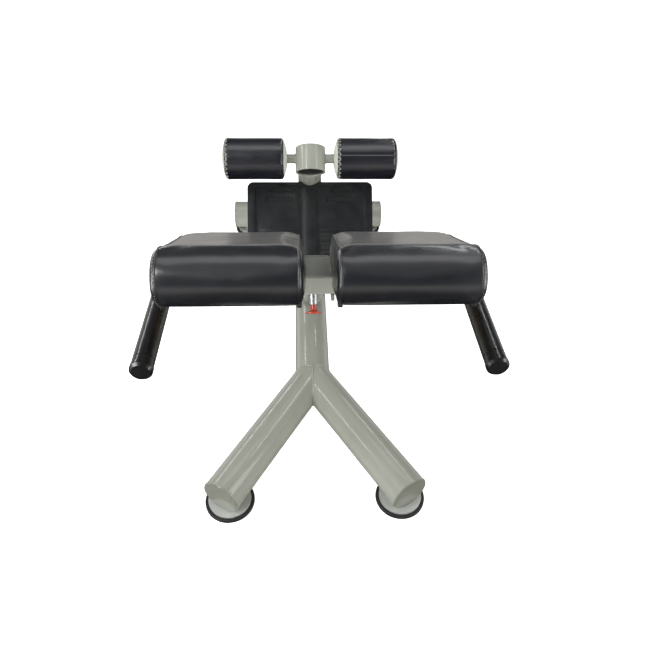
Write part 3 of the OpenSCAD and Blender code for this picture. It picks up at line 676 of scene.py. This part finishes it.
def corner_tab(side, edge):
    """The end of a seam's allowance, folded under at the front of the pad."""
    path = seams[side, edge]
    front = carrier_mid - Vector((0, math.cos(pad_tilt), -math.sin(pad_tilt))) * FRONT_REACH
    below = min(
        (v for v in path if v.y < front.y + 25 * MM), key=lambda v: v.dot(pad_up) + v.y * 0.35)
    bm = bmesh.new()
    shape = Matrix.Translation(below) @ Matrix.Diagonal((*TAB_SIZE, 1))
    bmesh.ops.create_cube(bm, size=1.0, matrix=shape)
    bmesh.ops.subdivide_edges(bm, edges=bm.edges, cuts=4, use_grid_fill=True)
    for _ in range(5):
        smoothed(bm)
    make_piece(f"tab_{edge}_{side}", bm, pad_vinyl, "carriage")


for side in ("left", "right"):
    for edge in ("inner", "outer"):
        corner_tab(side, edge)
print("folded four tabs")

# %% [markdown]
# ## Ankle rollers
# A roller is a foam tube in a vinyl sleeve. The sleeve is closed by one seam along its length
# and laced tight over each end, so the vinyl gathers there in small puckers. The profile is
# spun round the bar's axis, and the puckers are short waves that die out away from the ends.


# %% Spin the sleeve
def roller_profile(start, end, r, edge, inner):
    """Half the outline, from the inner end to the outer, with rounded shoulders."""
    arc = [math.radians(a) for a in range(0, 91, 15)]
    first = [(start + edge * (1 - math.sin(a)), r - edge * (1 - math.cos(a))) for a in reversed(arc)]
    last = [(end - edge * (1 - math.sin(a)), r - edge * (1 - math.cos(a))) for a in arc]
    steps = 28
    straight = [
        (start + edge + (end - start - 2 * edge) * i / steps, r) for i in range(1, steps)]
    return [(start, inner)] + first + straight + last + [(end, inner)]


def pucker(x, angle, start, end, seam_angle):
    """How far the sleeve stands in or out at a place, in metres."""
    near_end = min(x - start, end - x)
    gather = math.exp(-near_end / (9 * MM)) * math.sin(26 * angle + 2 * math.sin(3 * angle))
    slack = noise.noise(Vector((x * 18, 2.2 * math.cos(angle), 2.2 * math.sin(angle))))
    off_seam = math.atan2(math.sin(angle - seam_angle), math.cos(angle - seam_angle))
    groove = math.exp(-(off_seam / 0.04) ** 2) - 0.1 * math.exp(-((abs(off_seam) - 0.1) / 0.05) ** 2)
    return 0.7 * MM * gather + 0.6 * MM * slack - 2.4 * MM * groove


SLACK_ROOM = 1.2 * MM
SHOULDER = 9 * MM
ROLLER_BORE_R = 18 * MM


def roller_cover(side, seam_degrees):
    """Makes the cover and returns its middle, its radius and the start of the sleeve."""
    low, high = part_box(f"roller_pad_{side}")
    middle = (low + high) / 2
    radius = (high.z - low.z) / 2 - SLACK_ROOM
    bm = bmesh.new()
    outline = roller_profile(low.x, high.x, radius, SHOULDER, ROLLER_BORE_R)
    verts = [bm.verts.new((x, middle.y, middle.z + r)) for x, r in outline]
    edges = [bm.edges.new(pair) for pair in zip(verts, verts[1:])]
    bmesh.ops.spin(
        bm, geom=verts + edges, cent=middle, axis=(1, 0, 0), angle=math.tau, steps=144,
        use_merge=True, use_duplicate=False)
    bmesh.ops.remove_doubles(bm, verts=bm.verts, dist=0.01 * MM)
    seam_angle = math.radians(seam_degrees)
    for v in bm.verts:
        spoke = Vector((0, v.co.y - middle.y, v.co.z - middle.z))
        if spoke.length > radius - SHOULDER:
            angle = math.atan2(spoke.z, spoke.y)
            v.co += spoke.normalized() * pucker(v.co.x, angle, low.x, high.x, seam_angle)
    bmesh.ops.recalc_face_normals(bm, faces=bm.faces)
    cover = make_piece(
        f"roller_cover_{side}", bm, roller_vinyl, f"roller_{side}",
        (f"roller_pad_{side}",))
    return middle, radius, low.x


# The right roller's seam faces forward and up, and the left one's is turned to the back.
rollers = {"left": roller_cover("left", 20), "right": roller_cover("right", 139)}
print("roller radius (mm):", round(rollers["left"][1] / MM, 1))


# %% Lace the sleeves shut
LACE_R = 0.75 * MM


def lacing(side):
    """A zigzag thread over the shoulder at the end that has smaller X."""
    middle, radius, start = rollers[side]
    teeth = 26
    path = []
    for i in range(2 * teeth):
        angle = math.tau * i / (2 * teeth)
        on_top = i % 2 == 0
        x = start + (SHOULDER if on_top else 0.5 * MM)
        r = radius + (0.6 * MM if on_top else -6 * MM)
        path.append(Vector((x, middle.y + r * math.cos(angle), middle.z + r * math.sin(angle))))
    rounded = []
    for a, b in zip(path, path[1:] + path[:1]):
        bow = (a + b) / 2
        spoke = Vector((0, bow.y - middle.y, bow.z - middle.z)).normalized()
        rise = spoke * 1.6 * MM
        rounded += [a, a.lerp(b, 0.3) + rise, a.lerp(b, 0.7) + rise]
    cord(f"lacing_{side}", rounded, LACE_R, thread, f"roller_{side}")


for side in ("left", "right"):
    lacing(side)
print("laced both rollers")

# %% [markdown]
# ## Welds
# Where two tubes meet, the real frame has a bead of weld: a low rope of metal with a ripple
# for each dab of the torch, painted over with the rest. A bead is a cord swept along the line
# where the two tubes' surfaces meet, and its radius rises and falls along the way.


# %% Lay a weld bead along a path
def weld(name, path, body="frame", radius=2.6, closed=False, material=frame_paint):
    steps = even_steps(path + (path[:1] if closed else []), 2.4 * MM)
    if closed:
        steps = steps[:-1]
    cord("weld_" + name, steps, radius * MM, material, body, closed,
         swell=lambda i: 1 + 0.14 * math.sin(i * math.tau / 3))


# %% The junction's mitres
splay = math.radians(31)
mitre = (math.pi - splay) / 2
# The spine's end is a point of two mitres, so the junction is where its box begins.
junction = Vector((0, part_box("spine_tube")[0].y, tube_z))


def half_turn(count=60, first=-90, last=90):
    return [math.radians(first + (last - first) * i / count) for i in range(count + 1)]


weld("legs", [
    junction + Vector((0, -tube_r * math.cos(a) / math.sin(splay), tube_r * math.sin(a)))
    for a in half_turn(80)])
for sign, side in ((-1, "left"), (1, "right")):
    weld(f"leg_to_spine_{side}", [
        junction + Vector((
            sign * tube_r * math.cos(a), tube_r * math.cos(a) / math.tan(mitre), tube_r * math.sin(a)))
        for a in half_turn()])
print("junction at y (mm):", round(junction.y / MM, 1))

# %% The spine's saddle on the rear tube, and the end plates
for sign, side in ((-1, "left"), (1, "right")):
    weld(f"spine_to_rear_{side}", [
        Vector((sign * tube_r * abs(math.sin(a)), rear_y - tube_r * abs(math.sin(a)),
                tube_z + tube_r * math.cos(a)))
        for a in half_turn(60, 0, 180)])

# %% The beam's foot on the spine
beam_low, beam_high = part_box("main_beam")
beam_half = (beam_high.x - beam_low.x) / 2
# The tube's upper end is its most forward and highest place, which fixes the beam's axis.
mouth = Vector((0, beam_low.y, beam_high.z - 2 * beam_half * math.sin(beam_tilt)))
mouth += off_beam * beam_half


def on_spine(x, s):
    """The place on the spine's surface under a place of the beam's section."""
    corner = mouth + off_beam * s + Vector((x, 0, 0))
    top = tube_z + math.sqrt(max(tube_r ** 2 - x ** 2, 0))
    return corner + up_beam * ((top - corner.z) / up_beam.z)


def square_path(half, inset=2.0, count=12):
    """Points round a square section, as (x, s) pairs."""
    h = half
    side_steps = [(-1 + 2 * i / count) * (h - inset * MM) for i in range(count + 1)]
    return ([(v, -h) for v in side_steps] + [(h, v) for v in side_steps]
            + [(-v, h) for v in side_steps] + [(-h, -v) for v in side_steps])


weld("beam_foot", [on_spine(x, s) for x, s in square_path(beam_half)], closed=True)
print("beam mouth (mm):", [round(v / MM, 1) for v in mouth])


# %% Round joints
def hit(start, way, centre, axis, radius):
    """How far from start, along way, a line first meets a tube."""
    offset = start - centre
    offset -= axis * offset.dot(axis)
    across = way - axis * way.dot(axis)
    a, b, c = across.dot(across), offset.dot(across), offset.dot(offset) - radius ** 2
    root = b * b - a * c
    return (-b - math.sqrt(root)) / a if root > 0 and a > 0 else math.inf


def circle(centre, axis, radius, count=96):
    """Points round an axis."""
    side = axis.orthogonal().normalized() * radius
    return [
        centre + Matrix.Rotation(math.tau * i / count, 3, axis) @ side for i in range(count)]


along_x, along_y = Vector((1, 0, 0)), Vector((0, 1, 0))
head_low, head_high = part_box("head_tube")
head_mid = (head_low + head_high) / 2
head_r = (head_high.x - head_low.x) / 2
strut_low, strut_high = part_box("rear_strut")
strut_r = (strut_high.x - strut_low.x) / 2
rear_mid = Vector((0, rear_y, tube_z))
strut_way = (rear_mid - head_mid).normalized()
half_way = (rear_mid + head_mid) / 2

strut_foot = [
    rim + strut_way * min(
        hit(rim, strut_way, rear_mid, along_x, tube_r), hit(rim, strut_way, rear_mid, along_y, tube_r))
    for rim in circle(half_way, strut_way, strut_r)]
strut_top = [
    rim - strut_way * hit(rim, -strut_way, head_mid, off_beam, head_r)
    for rim in circle(half_way, strut_way, strut_r)]
weld("strut_foot", strut_foot, closed=True)
weld("strut_top", strut_top, closed=True)
bar_low, bar_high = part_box("roller_bar")
bar_mid = (bar_low + bar_high) / 2
bar_r = (bar_high.z - bar_low.z) / 2
for sign, side in ((-1, "left"), (1, "right")):
    way = along_x * sign
    far = bar_mid + way * 90 * MM
    weld(f"bar_to_head_{side}", [
        rim - way * hit(rim, -way, head_mid, off_beam, head_r)
        for rim in circle(far, way, bar_r)], radius=1.8, closed=True)
print("strut length (mm):", round((rear_mid - head_mid).length / MM))

# %% End caps and handles
for sign, side in ((-1, "left"), (1, "right")):
    leg_way = Vector((sign * math.sin(splay), -math.cos(splay), 0))
    cap_low, cap_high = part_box(f"front_leg_{side}")
    reach = (max(abs(cap_low.x), abs(cap_high.x)) - tube_r * math.cos(splay)) / math.sin(splay)
    rim_centre = junction + leg_way * reach
    weld(f"leg_cap_{side}", circle(rim_centre, leg_way, tube_r - 0.4 * MM), radius=1.5, closed=True)
    end_plates_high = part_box("carrier_end_plates")[1]
    stub = Vector((sign * end_plates_high.x, carrier_mid.y, carrier_mid.z))
    weld(f"handle_{side}", circle(stub, along_x, 14 * MM, 40), "carriage", 2.2, True)
    rear_end = Vector((sign * rear_high.x, rear_y, tube_z))
    weld(f"rear_cap_{side}", circle(rear_end, along_x, tube_r - 0.4 * MM), radius=1.5, closed=True)
print("leg length to its cap (mm):", round(reach / MM, 1))

# %% [markdown]
# ## Light, floor and camera
# The machine stands in a plain white studio. Glossy paint and vinyl show what is around them,
# so the room matters as much as the lamps: it is brightest a little below the horizon, which
# gives the pads' tops their pale sheen, and dark straight below, which keeps the undersides
# of the rolls deep black. Long thin lamps draw the streaks along the tubes, and two low ones
# light the front legs. The floor is white and is left out of the reflections, so that the
# dark below can be seen in them.


# %% Floor
def floor_finish():
    material, tree, shader, place = start_finish("studio_floor_matt_white", {
        "Roughness": 0.9, "Emission Color": linear("#ffffff"), "Emission Strength": 0.9})
    drifting_colour(tree, shader, place, "#f6f6f5", "#fcfcfb", 700)
    return material


bm = bmesh.new()
bmesh.ops.create_grid(bm, x_segments=1, y_segments=1, size=80)
floor_mesh = bpy.data.meshes.new("floor")
bm.to_mesh(floor_mesh)
bm.free()
floor_mesh.materials.append(floor_finish())
floor = bpy.data.objects.new("floor", floor_mesh)
bpy.context.scene.collection.objects.link(floor)
floor.visible_glossy = False
bpy.context.scene.view_settings.view_transform = "Standard"


# %% The room's own light
def studio_room():
    """A sky that depends only on height: dark below, brightest a little under the horizon."""
    world = bpy.data.worlds.new("studio")
    world.use_nodes = True
    tree = world.node_tree
    way = add(tree, "ShaderNodeTexCoord").outputs["Generated"]
    height = add(tree, "ShaderNodeSeparateXYZ", {"Vector": way}).outputs["Z"]
    ramp_in = add(tree, "ShaderNodeMapRange", {"Value": height, "From Min": -1.0, "From Max": 1.0})
    ramp = add(tree, "ShaderNodeValToRGB", {"Fac": ramp_in.outputs["Result"]})
    stops = [(0.0, "#0c0c0c"), (0.2, "#161617"), (0.3, "#c8c4bf"), (0.42, "#f2f0ed"),
             (0.5, "#8c8e90"), (0.6, "#5c5e61"), (0.84, "#4a4c50"), (1.0, "#b4b6b8")]
    band = ramp.color_ramp
    while len(band.elements) < len(stops):
        band.elements.new(0.5)
    for element, (place, tone) in zip(band.elements, stops):
        element.position = place
        element.color = linear(tone)
    # The camera itself sees a plain white wall where the floor ends.
    seen = add(tree, "ShaderNodeLightPath").outputs["Is Camera Ray"]
    wall = add(tree, "ShaderNodeMix", {
        "Factor": seen, "A": ramp.outputs["Color"], "B": (1.15, 1.15, 1.15, 1.0)}, data_type="RGBA")
    glow = tree.nodes["Background"]
    tree.links.new(wall.outputs["Result"], glow.inputs["Color"])
    glow.inputs["Strength"].default_value = 0.9
    bpy.context.scene.world = world


studio_room()


# %% Soft lights
def softbox(name, place, target, size, watts, long_way=None):
    """A panel that faces its target. long_way turns the panel's second side along an axis."""
    light = bpy.data.lights.new(name, "AREA")
    light.shape = "RECTANGLE"
    light.size, light.size_y = size
    light.energy = watts
    lamp = bpy.data.objects.new(name, light)
    bpy.context.scene.collection.objects.link(lamp)
    back = (Vector(place) - Vector(target)).normalized()
    side = (long_way or Vector((0, 0, 1))).cross(back).normalized()
    facing = Matrix((side, back.cross(side), back)).transposed().to_4x4()
    lamp.matrix_world = Matrix.Translation(place) @ facing


middle = (cad_bounds[0] + cad_bounds[1]) / 2
softbox("key", (-1.6, -1.4, 2.1), (0.0, -0.5, 0.2), (1.0, 1.5), 36)
softbox("fill", (2.2, -0.8, 1.7), (0.0, -0.4, 0.2), (0.7, 1.6), 12)
softbox("overhead", (0.0, 0.4, 3.0), middle, (2.2, 1.2), 11)
softbox("low_left", (-1.3, -1.3, 0.8), (-0.12, -0.4, 0.06), (0.5, 1.0), 11)
softbox("low_right", (1.3, -1.3, 0.8), (0.12, -0.4, 0.06), (0.5, 1.0), 9)
softbox("strip_left", (-1.25, 0.7, 1.15), middle, (0.07, 2.6), 9, along_y)
softbox("strip_right", (0.9, 0.8, 1.9), middle, (0.07, 2.6), 8, along_y)

# %% Camera
camera_place = Vector((-30.5, -1327.9, 1356.8)) * MM
yaw, pitch, roll = (math.radians(a) for a in (3.076, 43.694, 1.535))
ahead = Vector((math.sin(yaw) * math.cos(pitch), math.cos(yaw) * math.cos(pitch), -math.sin(pitch)))
level = Vector((math.cos(yaw), -math.sin(yaw), 0))
upright = level.cross(ahead)
right = level * math.cos(roll) + upright * math.sin(roll)
up = upright * math.cos(roll) - level * math.sin(roll)
lens = bpy.data.cameras.new("camera")
lens.lens = 33.95
lens.sensor_width = 36
camera = bpy.data.objects.new("camera", lens)
bpy.context.scene.collection.objects.link(camera)
turn = Matrix((right, up, -ahead)).transposed().to_4x4()
camera.matrix_world = Matrix.Translation(camera_place) @ turn
bpy.context.scene.camera = camera
print("camera height (mm):", round(camera_place.z / MM))

# %% [markdown]
# ## Sign off
# The last cell prints the box of the solids, as it was measured when the frame was loaded.

# %% Print the box of the solids
print("CAD box (mm):", [[round(c / MM, 1) for c in v] for v in cad_bounds])
